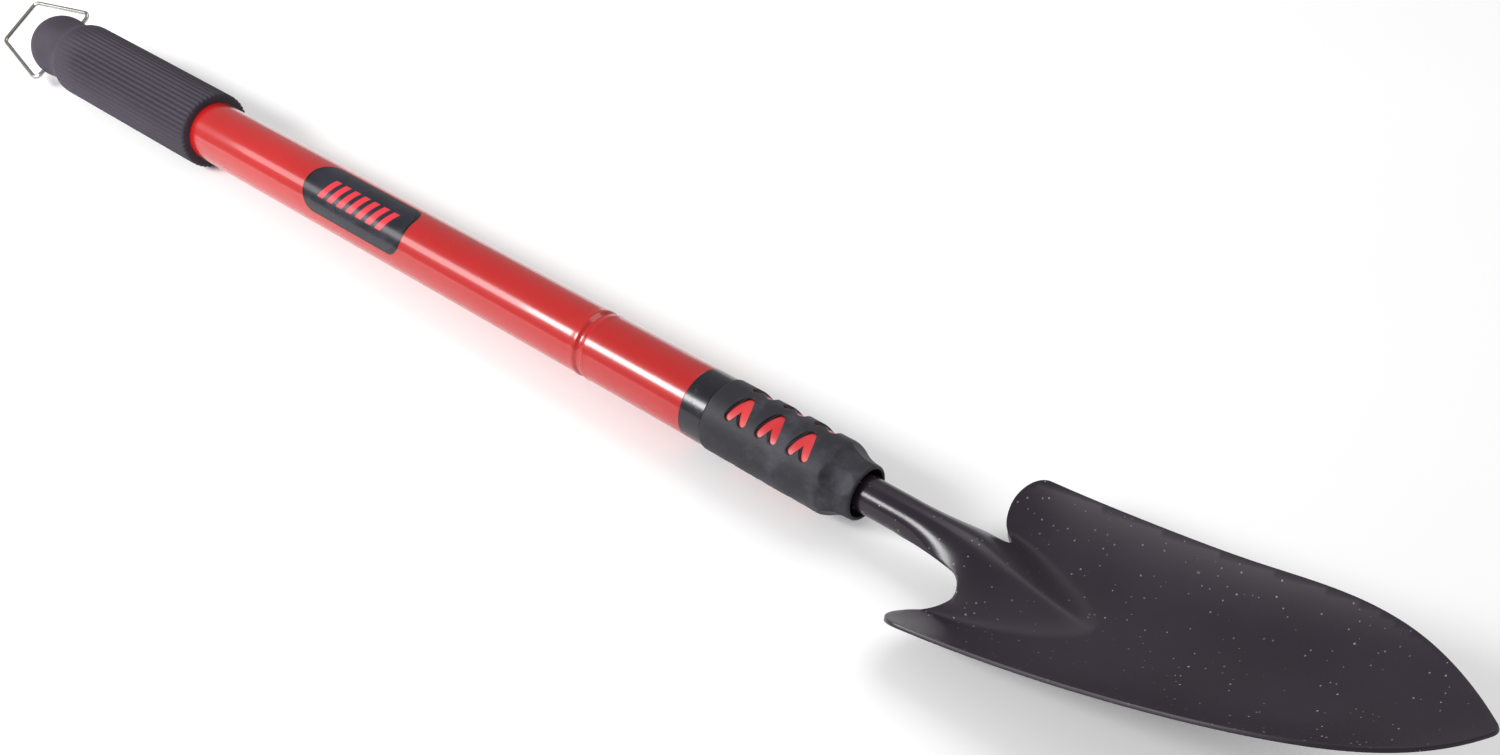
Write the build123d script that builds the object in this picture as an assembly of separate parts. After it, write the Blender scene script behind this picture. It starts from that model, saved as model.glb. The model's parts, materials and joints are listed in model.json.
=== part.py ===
from build123d import *

import os
from math import cos, pi, radians, sin, sqrt

# A telescopic digging trowel with a twist lock, lying on its back with the hollow side of the
# blade upwards. Lengths are millimetres and angles are degrees.
#
# The whole tool is first laid out on the "tube frame": X runs along the tube's axis from the grip
# to the blade, x = 0 is the front end of the outer tube, and Z points to the blade's hollow side.
# Angles about the axis are counted from +Y towards +Z. The last lines move every piece so that
# the origin is the middle of the bottom of the bounding box.

# --- outer tube -------------------------------------------------------------------------------
tube_diameter = 25.0
tube_wall = 1.0
tube_length = 378.0
crimp_station = -48.5  # middle of the rolled groove that holds the lock body
crimp_depth = 0.7
crimp_width = 3.4
tube_radius = tube_diameter / 2
bore_radius = tube_radius - tube_wall
tube_rear = -tube_length

# --- telescopic shaft -------------------------------------------------------------------------
shaft_diameter = 16.0
shaft_wall = 1.0
shaft_front = 53.0
travel = tube_length - 108.0
shaft_radius = shaft_diameter / 2
guide_length = 14.0
guide_cap = 2.0
guide_radius = bore_radius - 0.4
guide_ring_width = 3.0
guide_ring_depth = 0.48 * (guide_radius - shaft_radius)
guide_pin_diameter = 2.5
head_bush_length = 29.0
head_bush_flange = 1.5
head_pin_diameter = 3.0
head_pin_setback = 9.0

# --- hand grip and hanging bail ---------------------------------------------------------------
grip_front = tube_rear + 102.6
grip_radius = tube_radius + 3.6
grip_shoulder = tube_rear + 8.0  # where the round grip starts to shrink to the bulb
grip_slope = tube_rear + 3.0  # a station on the shoulder
slope_radius = tube_radius + 1.95
grip_waist = tube_rear - 4.5
waist_radius = tube_radius + 0.45
bulb_radius = tube_radius + 1.3
bulb_station = tube_rear - 14.0  # where the bulb's dome starts
grip_end = tube_rear - 24.8
grip_rim_round = 1.2
rib_count = 48
rib_groove_radius = 0.55
rib_margin = 7.0  # plain grip left between the ribs' ends and the shoulder
bail_wire = 1.9
bail_station = tube_rear - 12.5
bail_pivot_width = 2 * bulb_radius + 10.7
bail_end_width = 22.4
bail_length = 32.4
bail_bend = 2.6
bail_end_depth = 8.0  # distance of each wire end from the axis
bail_roll = 29.6  # the bail's pivot axis, from +Y towards +Z
bail_lift = 4.8  # the bail rests tilted this far towards the blade's hollow side
plug_length = 24.0
plug_wall = 3.0
plug_flange = 2.0
plug_flange_radius = tube_radius - 0.2
plug_head_radius = tube_radius - 1.7
plug_head_rear = tube_rear - 16.5

# --- label ------------------------------------------------------------------------------------
label_rear = grip_front + 73.0
label_front = grip_front + 132.0
label_half_angle = 53.0
label_middle = 122.0
label_thickness = 0.15
label_corner = 6.0

# --- twist lock -------------------------------------------------------------------------------
collar_ring = 9.25  # length of the lock body's ring that shows ahead of the tube
lock_tail = 55.5  # length of the lock body's spigot inside the tube
lock_nose_front = 33.0
thread_height = 0.6
thread_pitch = 4.0
thread_start = 12.5
thread_turns = 4
cone_depth = 13.0
cone_mouth_radius = shaft_radius + 1.25
cone_root_radius = shaft_radius + 0.7
lock_nose_radius = cone_mouth_radius + 0.85
collet_flange = 3.0
collet_flange_radius = shaft_radius + 1.9
collet_slits = 4
collet_slit_width = 0.9
washer_thickness = 1.5
core_front = 54.5
core_bore_radius = lock_nose_radius + thread_height + 0.35
core_radius = core_bore_radius + 0.95
core_shoulder = 3.5
washer_radius = core_bore_radius - 0.75
sleeve_front = 69.8
sleeve_rear_radius = core_radius + 0.95
sleeve_belly_radius = core_radius + 1.05
sleeve_belly_station = 30.0
sleeve_shoulder_radius = core_radius + 0.9
sleeve_shoulder_station = 58.0
taper_middle_radius = core_radius - 0.5
lip_radius = shaft_radius + 2.2
lip_length = 3.0
lip_round = 1.0
lip_opening_radius = shaft_radius + 0.4
facet_count = 8
facet_rear = 54.0
facet_rear_radius = core_radius + 0.9  # across the flats, halved, where the flats begin
facet_front_radius = shaft_radius + 1.7
window_columns = (21.8, 34.8, 47.8)
window_rows = (45.0, 112.0, 240.0, 307.0)
window_leg = 11.5  # each window is a chevron of two round-ended slots
window_width = 3.0
window_spread = 38.0  # angle between a chevron's two legs
window_point = 4.3  # how far each chevron's point lies from its middle
wiper_rear = 57.5
wiper_length = 6.0
wiper_radius = shaft_radius + 1.4
wiper_groove = 0.6

# --- blade ------------------------------------------------------------------------------------
blade_station = 106.3  # where the blade's own frame starts, along the tube
blade_drop = 12.5  # how far that start lies under the axis
blade_pitch = 7.16
blade_length = 163.5
blade_thickness = 1.2
spine_radius = 440.0
dish_radius_rear = 65.0
dish_radius_tip = 41.3
ear_half_width = 40.2
ear_sweep = 1.5  # how far the ears reach behind the frame's start
ear_bend = (1.2, 23.6)  # where the ears' rear edges turn, ahead of the start and off the middle
side_shape = ((0.30, 0.918), (0.50, 0.847), (0.68, 0.764), (0.82, 0.594), (0.92, 0.345), (0.975, 0.14))
tip_reach = 0.9  # length taken off the point by its rounding
ear_round = 8.0
notch_round = 3.6
notch_station = 9.6
notch_half_width = 11.0
tip_round = 3.0
neck_radius = shaft_radius - shaft_wall - 0.7
neck_wall = 1.2
neck_mouth = 17.0  # where the rolled neck opens, behind the frame's start
neck_lap = 4.0
flare_tuck = 0.4  # how much narrower than the neck the sheet is inside it
mouth_tuck = 0.1
sheet_reach = 0.69  # half-width of the sheet before it is cut to its outline, over its dish radius
sheet_margin = 0.03  # length of sheet beyond the point before it is cut, over the blade's length
sheet_sections = 60
socket_length = 49.0
socket_half_width = 23.0
socket_rise = 22.2
socket_taper = 1.25
socket_blend = 2.0

# --- clearances -------------------------------------------------------------------------------
seat = 0.02  # pieces fixed to each other
running = 0.05  # shafts, pins and rings that turn or slide in a bore
free = 0.25  # faces of moving pieces that stay clear of each other


def turned(*corners):
    """A turned piece: the (x, radius) corners revolved about the tube's axis."""
    return revolve(make_face(Polyline(*corners, close=True)), Axis.X)


def pipe(x_rear, x_front, outer, inner):
    """A plain tube about the axis."""
    return turned((x_rear, inner), (x_front, inner), (x_front, outer), (x_rear, outer))


def rod(x_rear, x_front, radius):
    """A plain cylinder about the axis."""
    return Pos((x_rear + x_front) / 2, 0, 0) * Rot(0, 90, 0) * Cylinder(radius, x_front - x_rear)


def cross_rod(x, radius, length, angle=0.0):
    """A cylinder square to the axis at x, turned by angle from +Y towards +Z."""
    return Pos(x, 0, 0) * Rot(angle, 0, 0) * Rot(90, 0, 0) * Cylinder(radius, length)


def groove_line(x, radius, depth, width):
    """A round-bottomed groove in a wall line, as an arc from front to rear."""
    return ThreePointArc((x + width / 2, radius), (x, radius - depth), (x - width / 2, radius))


def make_outer_tube():
    crimp_rear = crimp_station - crimp_width / 2
    crimp_front = crimp_station + crimp_width / 2
    outline = [
        Line((tube_rear, bore_radius), (crimp_rear, bore_radius)),
        groove_line(crimp_station, bore_radius, crimp_depth, crimp_width),
        Line((crimp_front, bore_radius), (0, bore_radius)),
        Line((0, bore_radius), (0, tube_radius)),
        Line((0, tube_radius), (crimp_front, tube_radius)),
        groove_line(crimp_station, tube_radius, crimp_depth, crimp_width),
        Line((crimp_rear, tube_radius), (tube_rear, tube_radius)),
        Line((tube_rear, tube_radius), (tube_rear, bore_radius)),
    ]
    return revolve(make_face(outline), Axis.X)


def make_grip():
    """One moulding: a ribbed barrel, a shoulder down to a waist, and a domed bulb."""
    dome = grip_end - bulb_station
    half_dome = (bulb_station + dome * sin(radians(50)), bulb_radius * cos(radians(50)))
    outline = [
        Line((grip_front, tube_radius + seat), (grip_front, grip_radius - grip_rim_round)),
        RadiusArc(
            (grip_front, grip_radius - grip_rim_round),
            (grip_front - grip_rim_round, grip_radius),
            -grip_rim_round,
        ),
        Line((grip_front - grip_rim_round, grip_radius), (grip_shoulder, grip_radius)),
        Spline(
            (grip_shoulder, grip_radius),
            (grip_slope, slope_radius),
            (grip_waist, waist_radius),
            (bulb_station, bulb_radius),
            half_dome,
            (grip_end, 0),
            tangents=((-1, 0), (0, -1)),
        ),
        Polyline(
            (grip_end, 0),
            (plug_head_rear - seat, 0),
            (plug_head_rear - seat, plug_head_radius + seat),
            (tube_rear - plug_flange - seat, plug_head_radius + seat),
            (tube_rear - plug_flange - seat, tube_radius + seat),
            (grip_front, tube_radius + seat),
        ),
    ]
    grip = revolve(make_face(outline), Axis.X)
    rib_rear = grip_shoulder + rib_margin
    rib_middle = (rib_rear + grip_front) / 2
    groove = Rot(0, 90, 0) * Cylinder(rib_groove_radius, grip_front - rib_rear + 2 * grip_rim_round)
    grooves = [
        Rot(360 * i / rib_count, 0, 0) * Pos(rib_middle + grip_rim_round, 0, grip_radius) * groove
        for i in range(rib_count)
    ]
    grip = grip - grooves
    return grip - cross_rod(bail_station, bail_wire / 2 + running, 3 * grip_radius, bail_roll)


def make_end_plug():
    """A plug in the tube's rear end, whose solid head carries the bail's ends."""
    front = tube_rear + plug_length
    cup = turned(
        (plug_head_rear, 0),
        (plug_head_rear, plug_head_radius),
        (tube_rear - plug_flange, plug_head_radius),
        (tube_rear - plug_flange, plug_flange_radius),
        (tube_rear - seat, plug_flange_radius),
        (tube_rear - seat, bore_radius - seat),
        (front, bore_radius - seat),
        (front, bore_radius - plug_wall),
        (tube_rear + plug_wall, bore_radius - plug_wall),
        (tube_rear + plug_wall, 0),
    )
    return cup - cross_rod(bail_station, bail_wire / 2 + running, 2 * tube_diameter, bail_roll)


def make_bail():
    """One bent wire: a trapezoid loop whose ends turn inwards into the bulb."""
    pivot = bail_pivot_width / 2
    end = bail_end_width / 2
    path = FilletPolyline(
        (0, bail_end_depth),
        (0, pivot),
        (-bail_length, end),
        (-bail_length, -end),
        (0, -pivot),
        (0, -bail_end_depth),
        radius=bail_bend,
    )
    section = Plane(origin=path @ 0, z_dir=path % 0) * Circle(bail_wire / 2)
    loop = Rot(0, bail_lift, 0) * sweep(section, path=path)
    return Rot(bail_roll, 0, 0) * Pos(bail_station, 0, 0) * loop


def make_label():
    """A thin film wrapped on the tube, round at its rear end and square at its front end."""
    half_width = tube_radius * sin(radians(label_half_angle))
    length = label_front - label_rear
    patch = Rectangle(length, 2 * half_width)
    rear_corners = patch.vertices().group_by(Axis.X)[0]
    patch = fillet(rear_corners, half_width * 0.9)
    front_corners = patch.vertices().group_by(Axis.X)[-1]
    patch = fillet(front_corners, label_corner)
    block = extrude(Pos((label_rear + label_front) / 2, 0, 0) * patch, tube_diameter)
    shell = pipe(label_rear, label_front, tube_radius + seat + label_thickness, tube_radius + seat)
    return Rot(label_middle - 90, 0, 0) * (shell & block)


def helical_ridge(root_radius, height, start, angle=0.0):
    """A screw thread's ridge about the axis. A negative height makes an inside thread."""
    spine = Helix(thread_pitch, thread_pitch * thread_turns, root_radius)
    sink = -0.2 if height > 0 else 0.2
    base = thread_pitch * 0.2
    crest = thread_pitch * 0.1
    section = Plane(origin=spine @ 0, z_dir=spine % 0, x_dir=(1, 0, 0)) * make_face(
        Polyline((sink, -base), (height, -crest), (height, crest), (sink, base), close=True)
    )
    ridge = sweep(section, path=spine, is_frenet=True)
    return Pos(start, 0, 0) * Rot(angle, 0, 0) * Rot(0, 90, 0) * ridge


def make_lock_body():
    """Spigot in the tube, a ring flush with the tube, and a threaded nose with a cone seat."""
    slide_radius = shaft_radius + 2 * running
    spigot = bore_radius - seat
    crimp = bore_radius - crimp_depth - running
    half_crimp = crimp_width / 2 + running
    body = turned(
        (-lock_tail, slide_radius),
        (lock_nose_front - cone_depth, slide_radius),
        (lock_nose_front - cone_depth, cone_root_radius),
        (lock_nose_front, cone_mouth_radius),
        (lock_nose_front, lock_nose_radius),
        (collar_ring, lock_nose_radius),
        (collar_ring, tube_radius),
        (seat, tube_radius),
        (seat, spigot),
        (crimp_station + half_crimp, spigot),
        (crimp_station + half_crimp / 2, crimp),
        (crimp_station - half_crimp / 2, crimp),
        (crimp_station - half_crimp, spigot),
        (-lock_tail, spigot),
    )
    return body + helical_ridge(lock_nose_radius, thread_height, thread_start)


def make_clamp_collet():
    """A split cone that closes on the shaft, with a flange for the washer to push."""
    cone_rear = lock_nose_front - cone_depth + free
    taper = (cone_mouth_radius - cone_root_radius) / cone_depth
    flange_rear = lock_nose_front + free
    flange_front = flange_rear + collet_flange
    inner = shaft_radius + running
    cone = turned(
        (cone_rear, inner),
        (flange_front, inner),
        (flange_front, collet_flange_radius),
        (flange_rear, collet_flange_radius),
        (flange_rear, cone_mouth_radius - running),
        (cone_rear, cone_root_radius + taper * free - running),
    )
    slit_length = lock_nose_front - cone_rear
    for i in range(collet_slits):
        slit = Box(slit_length, collet_slit_width, 3 * shaft_radius, align=(Align.MIN, Align.CENTER, Align.MIN))
        cone -= Rot(45 + 360 * i / collet_slits, 0, 0) * Pos(cone_rear, 0, 0) * slit
    split = Box(2 * cone_depth, collet_slit_width, 3 * shaft_radius, align=(Align.MIN, Align.CENTER, Align.MIN))
    return cone - Rot(45, 0, 0) * Pos(cone_rear, 0, 0) * split


washer_rear = lock_nose_front + free + collet_flange + free
shoulder_rear = washer_rear + washer_thickness + free


def make_thrust_washer():
    return pipe(washer_rear, washer_rear + washer_thickness, washer_radius, shaft_radius + 2 * free)


def make_sleeve_core():
    """The hard nut inside the twist sleeve, with the inside thread and a shoulder."""
    core = turned(
        (collar_ring + free, core_bore_radius),
        (shoulder_rear, core_bore_radius),
        (shoulder_rear, shaft_radius + 2 * free),
        (shoulder_rear + core_shoulder, shaft_radius + 2 * free),
        (shoulder_rear + core_shoulder, core_bore_radius - 1),
        (core_front, core_bore_radius - 1),
        (core_front, core_radius),
        (collar_ring + free, core_radius),
    )
    thread = helical_ridge(core_bore_radius, -thread_height, thread_start + thread_pitch / 2)
    return core + thread


def window_cutter():
    """A chevron of two round-ended slots, cut along Z from the axis outwards."""
    chevron = Sketch()
    for half_spread in (-window_spread / 2, window_spread / 2):
        slot = Pos(window_width / 2 - window_leg / 2, 0) * SlotOverall(window_leg, window_width)
        chevron += Pos(0, window_point) * Rot(0, 0, 90 + half_spread) * slot
    return extrude(chevron, 2 * core_radius)


def make_sleeve_grip():
    """The soft cover of the twist sleeve: windows over the core, and a faceted front."""
    rear = collar_ring + free
    inner = core_radius + seat
    lip_rear = sleeve_front - lip_length
    wiper_front = wiper_rear + wiper_length
    taper_middle = (sleeve_shoulder_station + lip_rear) / 2
    outline = [
        Line((rear, inner), (rear, sleeve_rear_radius)),
        Spline(
            (rear, sleeve_rear_radius),
            (sleeve_belly_station, sleeve_belly_radius),
            (sleeve_shoulder_station, sleeve_shoulder_radius),
        ),
        Spline(
            (sleeve_shoulder_station, sleeve_shoulder_radius),
            (taper_middle, taper_middle_radius),
            (lip_rear, lip_radius),
            (sleeve_front - lip_round, lip_radius - lip_round / 2),
        ),
        Line((sleeve_front - lip_round, lip_radius - lip_round / 2), (sleeve_front, lip_radius - lip_round)),
        Line((sleeve_front, lip_radius - lip_round), (sleeve_front, lip_opening_radius)),
        Line((sleeve_front, lip_opening_radius), (wiper_front + seat, lip_opening_radius)),
        Line((wiper_front + seat, lip_opening_radius), (wiper_front + seat, wiper_radius + seat)),
        Line((wiper_front + seat, wiper_radius + seat), (core_front + seat, wiper_radius + seat)),
        Line((core_front + seat, wiper_radius + seat), (core_front + seat, inner)),
        Line((core_front + seat, inner), (rear, inner)),
    ]
    sleeve = revolve(make_face(outline), Axis.X)
    flats = loft(
        [
            Plane.YZ.offset(facet_rear) * RegularPolygon(facet_rear_radius, facet_count, major_radius=False),
            Plane.YZ.offset(lip_rear) * RegularPolygon(facet_front_radius, facet_count, major_radius=False),
        ]
    )
    sleeve -= rod(facet_rear, lip_rear, tube_diameter) - flats
    cutter = window_cutter()
    for angle in window_rows:
        for station in window_columns:
            sleeve -= Rot(angle - 90, 0, 0) * Pos(station, 0, 0) * cutter
    return sleeve


def make_wiper_seal():
    """A soft ring behind the lip that keeps soil out of the lock."""
    inner = shaft_radius + free
    front = wiper_rear + wiper_length
    middle = (wiper_rear + front) / 2
    return turned(
        (wiper_rear, inner + wiper_groove),
        (wiper_rear + wiper_groove, inner),
        (middle - wiper_groove, inner),
        (middle, inner + wiper_groove),
        (middle + wiper_groove, inner),
        (front, inner),
        (front, wiper_radius),
        (wiper_rear, wiper_radius),
    )


guide_front = -lock_tail - free - travel
guide_rear = guide_front - guide_length
shaft_rear = guide_rear + seat
ring_middle = (guide_front + guide_rear) / 2 + guide_ring_width
guide_pin_station = (guide_rear + ring_middle - guide_ring_width / 2) / 2
head_pin_station = shaft_front - head_pin_setback
neck_rear = shaft_front - head_bush_length


def make_inner_tube():
    tube = pipe(shaft_rear, shaft_front, shaft_radius, shaft_radius - shaft_wall)
    tube -= cross_rod(guide_pin_station, guide_pin_diameter / 2, shaft_diameter)
    return tube - cross_rod(head_pin_station, head_pin_diameter / 2, shaft_diameter)


def make_guide_bush():
    """A cup pressed over the shaft's rear end, with a groove for the drag ring."""
    groove_radius = guide_radius - guide_ring_depth
    half_groove = guide_ring_width / 2 + running
    bush = turned(
        (guide_rear - guide_cap, 0),
        (guide_rear, 0),
        (guide_rear, shaft_radius + seat),
        (guide_front, shaft_radius + seat),
        (guide_front, guide_radius),
        (ring_middle + half_groove, guide_radius),
        (ring_middle + half_groove, groove_radius),
        (ring_middle - half_groove, groove_radius),
        (ring_middle - half_groove, guide_radius),
        (guide_rear - guide_cap, guide_radius),
    )
    return bush - cross_rod(guide_pin_station, guide_pin_diameter / 2, tube_diameter)


def make_guide_pin():
    return cross_rod(guide_pin_station, guide_pin_diameter / 2 - seat, 2 * guide_radius - 2 * running)


def make_drag_ring():
    """A split ring that slides in the outer tube and lets the shaft turn inside it."""
    half = guide_ring_width / 2
    inner = guide_radius - guide_ring_depth + running
    ring = pipe(ring_middle - half, ring_middle + half, bore_radius - running, inner)
    gap = Box(2 * guide_ring_width, 1.0, tube_radius, align=(Align.CENTER, Align.CENTER, Align.MIN))
    return ring - Pos(ring_middle, 0, 0) * gap


def make_head_bush():
    """Fills the space between the blade's neck and the shaft, with a flange at the shaft's mouth."""
    bush = turned(
        (neck_rear, neck_radius + seat),
        (shaft_front + head_bush_flange, neck_radius + seat),
        (shaft_front + head_bush_flange, shaft_radius),
        (shaft_front + seat, shaft_radius),
        (shaft_front + seat, shaft_radius - shaft_wall - seat),
        (neck_rear, shaft_radius - shaft_wall - seat),
    )
    return bush - cross_rod(head_pin_station, head_pin_diameter / 2, shaft_diameter)


def make_head_pin():
    """A flush pin through the shaft, the bush and the neck."""
    pin = cross_rod(head_pin_station, head_pin_diameter / 2 - seat, 2 * shaft_diameter)
    return pin & rod(head_pin_station - tube_radius, head_pin_station + tube_radius, shaft_radius)


def dish_radius(x):
    """The radius of the blade's hollow across its width, x ahead of the blade frame's start."""
    return dish_radius_rear + (dish_radius_tip - dish_radius_rear) * x / blade_length


def sheet_height(x, y):
    """The blade's hollow face above its own frame, before the socket is pressed into it."""
    return x**2 / (2 * spine_radius) + dish_radius(x) - sqrt(dish_radius(x) ** 2 - y**2)


def socket_height(x, y):
    """How far the pressed socket stands over the sheet: an arch that runs out to a point."""
    if x >= socket_length:
        return 0.0
    slope = radians(blade_pitch)
    neck_top = (neck_radius + blade_drop - x * sin(slope)) / cos(slope) - sheet_height(x, 0)
    ridge = socket_rise * ((socket_length - x) / socket_length) ** socket_taper
    crest = (neck_top + ridge - sqrt((neck_top - ridge) ** 2 + socket_blend**2)) / 2
    if x > 0:
        half_width = socket_half_width * (1 - (x / (1.06 * socket_length)) ** 1.2) ** 0.75
    else:
        half_width = socket_half_width * (1 - (x / (2 * neck_mouth)) ** 2)
    if abs(y) >= half_width:
        return 0.0
    return crest * cos(pi / 2 * y / half_width) ** 2


def sheet_section(x, points=25):
    """The sheet cut across at x: the hollow face, the back face and the two short sides."""
    upper = []
    lower = []
    step = 0.05
    for j in range(points):
        y = sheet_reach * dish_radius(x) * (2 * j / (points - 1) - 1)
        height = sheet_height(x, y) + socket_height(x, y)
        next_height = sheet_height(x, y + step) + socket_height(x, y + step)
        slope = (next_height - height) / step
        across = 1 / sqrt(1 + slope**2)
        upper.append(Vector(x, y, height))
        lower.append(Vector(x, y + slope * across * blade_thickness, height - across * blade_thickness))
    sides = [Line(upper[-1], lower[-1]), Line(lower[0], upper[0])]
    return Wire([Spline(*upper), *sides, Spline(*lower)])


def blade_outline():
    """The blade seen square to its frame: neck, notches, ears, long edges and tip."""
    side = [
        (-ear_sweep, ear_half_width),
        *[(share * blade_length, width * ear_half_width) for share, width in side_shape],
        (blade_length + tip_reach, 0),
    ]
    half = [
        Polyline(
            (-neck_mouth - neck_lap, 0),
            (-neck_mouth - neck_lap, neck_radius - flare_tuck),
            (-neck_mouth, neck_radius - mouth_tuck),
            (notch_station, notch_half_width),
            ear_bend,
            (-ear_sweep, ear_half_width),
        ),
        Spline(*side),
    ]
    whole = half + [mirror(edge, Plane.XZ) for edge in half]
    return make_face(whole)


def make_blade():
    """Pressed sheet: dished blade, socket ridge and a neck rolled from the same piece."""
    rear = -1.5 * neck_mouth
    reach = (1 + sheet_margin) * blade_length - rear
    sections = [sheet_section(rear + reach * i / (sheet_sections - 1)) for i in range(sheet_sections)]
    sheet = Solid.make_loft(sections)
    prism = extrude(blade_outline(), 2 * dish_radius_rear, both=True)
    corners = [(blade_length + tip_reach, 0, tip_round)]
    for side in (1, -1):
        corners.append((notch_station, side * notch_half_width, notch_round))
        corners.append((-ear_sweep, side * ear_half_width, ear_round))
    for x, y, radius in corners:
        edge = prism.edges().filter_by(Axis.Z).sort_by_distance((x, y, 0))[0]
        prism = fillet(edge, radius)
    sheet = Pos(blade_station, 0, -blade_drop) * Rot(0, -blade_pitch, 0) * (Part() + sheet & prism)
    mouth = blade_station - neck_mouth
    neck = rod(neck_rear, mouth + 2 * neck_radius, neck_radius)
    ahead = Box(tube_diameter, tube_diameter, tube_diameter, align=(Align.MIN, Align.CENTER, Align.CENTER))
    neck -= Pos(mouth + neck_radius, 0, 0) * Rot(0, 45, 0) * ahead
    blade = neck + sheet - rod(neck_rear, mouth + 0.5 * neck_radius, neck_radius - neck_wall)
    return blade - cross_rod(head_pin_station, head_pin_diameter / 2, shaft_diameter)


pieces = {
    "outer_tube": make_outer_tube(),
    "grip": make_grip(),
    "end_plug": make_end_plug(),
    "bail": make_bail(),
    "label": make_label(),
    "lock_body": make_lock_body(),
    "clamp_collet": make_clamp_collet(),
    "thrust_washer": make_thrust_washer(),
    "sleeve_core": make_sleeve_core(),
    "sleeve_grip": make_sleeve_grip(),
    "wiper_seal": make_wiper_seal(),
    "inner_tube": make_inner_tube(),
    "guide_bush": make_guide_bush(),
    "guide_pin": make_guide_pin(),
    "drag_ring": make_drag_ring(),
    "head_bush": make_head_bush(),
    "head_pin": make_head_pin(),
    "blade": make_blade(),
}

box = Compound(list(pieces.values())).bounding_box()
origin = Pos(-(box.min.X + box.max.X) / 2, -(box.min.Y + box.max.Y) / 2, -box.min.Z)
os.makedirs("parts", exist_ok=True)
for name, piece in pieces.items():
    export_step(origin * piece, f"parts/{name}.step")

print("size", box.size)
print("axis height", origin.position.Z, "tube front at x", origin.position.X)
print("bail pivot at x", origin.position.X + bail_station)
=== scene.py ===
import json
from math import cos, pi, radians, sin, sqrt

import bmesh
import bpy
import numpy as np
from mathutils import Matrix, Quaternion, Vector
from mathutils.geometry import delaunay_2d_cdt


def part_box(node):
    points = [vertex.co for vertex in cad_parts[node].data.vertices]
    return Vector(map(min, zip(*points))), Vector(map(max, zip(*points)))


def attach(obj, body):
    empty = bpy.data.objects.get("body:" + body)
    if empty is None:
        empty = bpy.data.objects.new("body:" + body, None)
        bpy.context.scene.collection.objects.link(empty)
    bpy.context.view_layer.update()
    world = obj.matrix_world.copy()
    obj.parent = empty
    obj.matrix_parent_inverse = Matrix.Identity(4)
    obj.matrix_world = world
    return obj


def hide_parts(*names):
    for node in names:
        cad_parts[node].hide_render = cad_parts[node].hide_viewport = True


# The looks of a telescopic digging trowel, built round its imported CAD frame. Places along the
# tool are millimetres ahead of the outer tube's front end, and radii are millimetres from the
# tube's axis. Angles about the axis run from +Y towards +Z. The function row_point turns them into
# metres in the frame that the CAD nodes share.

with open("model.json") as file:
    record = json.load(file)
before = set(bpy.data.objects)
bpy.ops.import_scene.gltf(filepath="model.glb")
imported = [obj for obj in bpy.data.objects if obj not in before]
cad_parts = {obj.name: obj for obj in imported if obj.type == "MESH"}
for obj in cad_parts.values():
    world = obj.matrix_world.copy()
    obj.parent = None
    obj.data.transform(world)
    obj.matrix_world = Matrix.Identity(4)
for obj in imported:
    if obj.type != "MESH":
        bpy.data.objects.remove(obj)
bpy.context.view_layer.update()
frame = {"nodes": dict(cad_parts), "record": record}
nodes = frame["nodes"]

MM = 0.001
tube_low, tube_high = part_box("outer_tube")
AXIS_HEIGHT = (tube_low.z + tube_high.z) / 2
TUBE_FRONT = tube_high.x
TUBE_RADIUS = (tube_high.z - tube_low.z) / 2 / MM
TUBE_LENGTH = (tube_high.x - tube_low.x) / MM

# --- sizes ------------------------------------------------------------------------------------
TUBE_WALL = 1.0
GROOVE_STATION = -48.5
GROOVE_DEPTH = 0.7
GROOVE_WIDTH = 3.4
GROOVE_LIP = 0.14  # how far the rolled metal stands proud beside the groove
TUBE_EDGE = 0.25

TUBE_REAR = -TUBE_LENGTH
GRIP_FRONT = TUBE_REAR + 102.6
GRIP_RADIUS = 16.1
GRIP_SHOULDER = TUBE_REAR + 8.0
GRIP_SLOPE = TUBE_REAR + 3.0
SLOPE_RADIUS = 14.45
GRIP_WAIST = TUBE_REAR - 4.5
WAIST_RADIUS = 12.95
BULB_STATION = TUBE_REAR - 14.0
BULB_RADIUS = 13.8
GRIP_END = TUBE_REAR - 24.8
GRIP_RIM_ROUND = 1.2
GRIP_GAP = 0.02  # between the grip and the tube
RIB_COUNT = 48
RIB_POINTS = 8  # points round the grip for each rib
RIB_DEPTH = 0.75
RIB_POWER = 1.6  # more than 1 makes the ribs broader than the grooves
RIB_REAR = GRIP_SHOULDER - 2.0
RIB_FULL = GRIP_SHOULDER + 16.0  # from here forwards the grooves have their full depth
PLUG_HEAD_REAR = TUBE_REAR - 16.5
PLUG_HEAD_RADIUS = 10.8
PLUG_FLANGE = 2.0
AXIS_GAP = 0.02  # the radius at which a turned piece closes on the axis

BAIL_WIRE = 1.9
BAIL_STATION = TUBE_REAR - 12.5
BAIL_PIVOT_WIDTH = 38.3
BAIL_END_WIDTH = 22.4
BAIL_LENGTH = 32.4
BAIL_BEND = 2.6
BAIL_END_DEPTH = 8.0
BAIL_ROLL = radians(29.6)
BAIL_LIFT = radians(4.8)

LABEL_REAR = GRIP_FRONT + 73.0
LABEL_FRONT = GRIP_FRONT + 132.0
LABEL_LENGTH = LABEL_FRONT - LABEL_REAR
LABEL_HALF_ANGLE = radians(53.0)
LABEL_MIDDLE = radians(122.0)
LABEL_THICKNESS = 0.15
LABEL_LIFT = 0.02
LABEL_REAR_ROUND = 0.9  # as a share of the label's half width
LABEL_FRONT_ROUND = 6.0
BORDER_ROUND = 9.0
BORDER_WIDTH = 0.9
MARK_BAR_COUNT = 7
MARK_BAR_SHARE = 0.3  # half of a bar's width, as a share of the bars' pitch
MARK_HALF_LENGTH = 20.0
MARK_HALF_HEIGHT = 4.6
MARK_SHIFT = 1.0
MARK_SLANT = 0.45

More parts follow.
